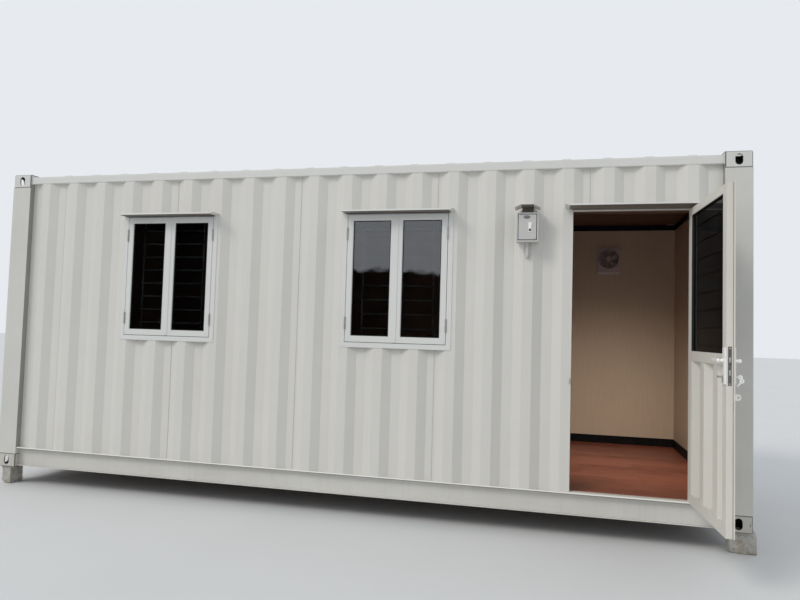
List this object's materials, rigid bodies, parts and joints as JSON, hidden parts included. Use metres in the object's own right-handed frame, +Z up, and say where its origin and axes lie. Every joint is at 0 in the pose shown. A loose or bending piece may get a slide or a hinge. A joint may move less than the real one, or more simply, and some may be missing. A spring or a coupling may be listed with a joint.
{
  "type": "shipping container cabin",
  "caption": "Steel shipping container converted to a cabin, with hooded casement windows, a part-glazed steel door, a lined room, an isolator box and a wall fan, standing on concrete blocks.",
  "frame": {"origin": "centre of the finished floor inside the cabin, on its top surface", "axes": "+X along the container to the door end, +Y to the back wall, +Z up"},
  "size_m": [6.0965, 3.2714, 2.741],
  "materials": {
    "container_paint": "satin warm off-white paint",
    "underside_paint": "dull dark coating",
    "window_paint": "satin off-white powder coat",
    "door_paint": "satin warm off-white paint",
    "glass_tinted": "dark tinted",
    "floor_board": "plywood",
    "floor_cover": "red-brown wood-look sheet",
    "wall_board": "cream laminate",
    "ceiling_board": "dark brown",
    "timber": "sawn",
    "black_trim": "black",
    "bright_steel": "bright plated",
    "polished_metal": "polished",
    "lock_white": "white enamel",
    "box_paint": "pale grey enamel",
    "pale_plastic": "pale",
    "fan_case": "grey-blue",
    "fan_dark": "dark",
    "concrete": "rough cast"
  },
  "bodies": {
    "cabin": {"bottom_castings": "container_paint", "bottom_end_rails": "container_paint", "bottom_side_rails": "container_paint", "ceiling_battens": "timber", "ceiling_panel": "ceiling_board", "corner_posts": "container_paint", "cornice": "black_trim", "cross_members": "underside_paint", "door_frame": "door_paint", "door_hinges": "bright_steel", "door_hood": "container_paint", "door_threshold": "door_paint", "fan_frame": "fan_case", "fan_louvre": "pale_plastic", "fan_motor": "fan_dark", "floor_covering": "floor_cover", "floor_deck": "floor_board", "front_wall_left": "container_paint", "front_wall_over_door": "container_paint", "front_wall_right": "container_paint", "isolator_box": "box_paint", "isolator_conduit": "pale_plastic", "isolator_cover": "box_paint", "isolator_hood": "container_paint", "isolator_latch": "polished_metal", "left_end_wall": "container_paint", "lining_front_left": "wall_board", "lining_front_over_door": "wall_board", "lining_front_right": "wall_board", "lining_left_end": "wall_board", "lining_rear": "wall_board", "lining_right_end": "wall_board", "rear_wall": "container_paint", "right_end_wall": "container_paint", "roof_panel": "container_paint", "skirting": "black_trim", "support_blocks": "concrete", "top_castings": "container_paint", "top_end_rails": "container_paint", "top_side_rails": "container_paint", "wall_eye": "container_paint", "window_frames": "window_paint", "window_hinges": "window_paint", "window_hoods": "container_paint", "window_panes": "glass_tinted", "window_sashes": "window_paint"},
    "door_leaf": {"leaf_frame": "door_paint", "leaf_pane": "glass_tinted", "leaf_panel": "door_paint", "leaf_hinges": "bright_steel", "lock_case": "bright_steel", "lock_plates": "lock_white", "lock_cylinder": "polished_metal", "door_keys": "polished_metal", "leaf_eye": "door_paint"},
    "lever": {"lever_handles": "polished_metal"},
    "fan": {"fan_rotor": "fan_dark"}
  },
  "joints": [
    {"name": "door_hinge", "type": "hinge", "parent": "cabin", "child": "door_leaf", "pos_m": [2.666, -1.225, 0], "axis": [0, 0, 1], "range_deg": [-92.9, 77.1]},
    {"name": "lever_turn", "type": "hinge", "parent": "door_leaf", "child": "lever", "pos_m": [2.70592, -2.01299, 0.988], "axis": [-0.9987, -0.0506, 0], "range_deg": [0, 38], "stiffness_Nm_per_rad": 3, "springref_deg": -14.32},
    {"name": "fan_spin", "type": "hinge", "parent": "cabin", "child": "fan", "pos_m": [2.284, 1.1, 1.932], "axis": [0, 1, 0], "continuous": true}
  ]
}
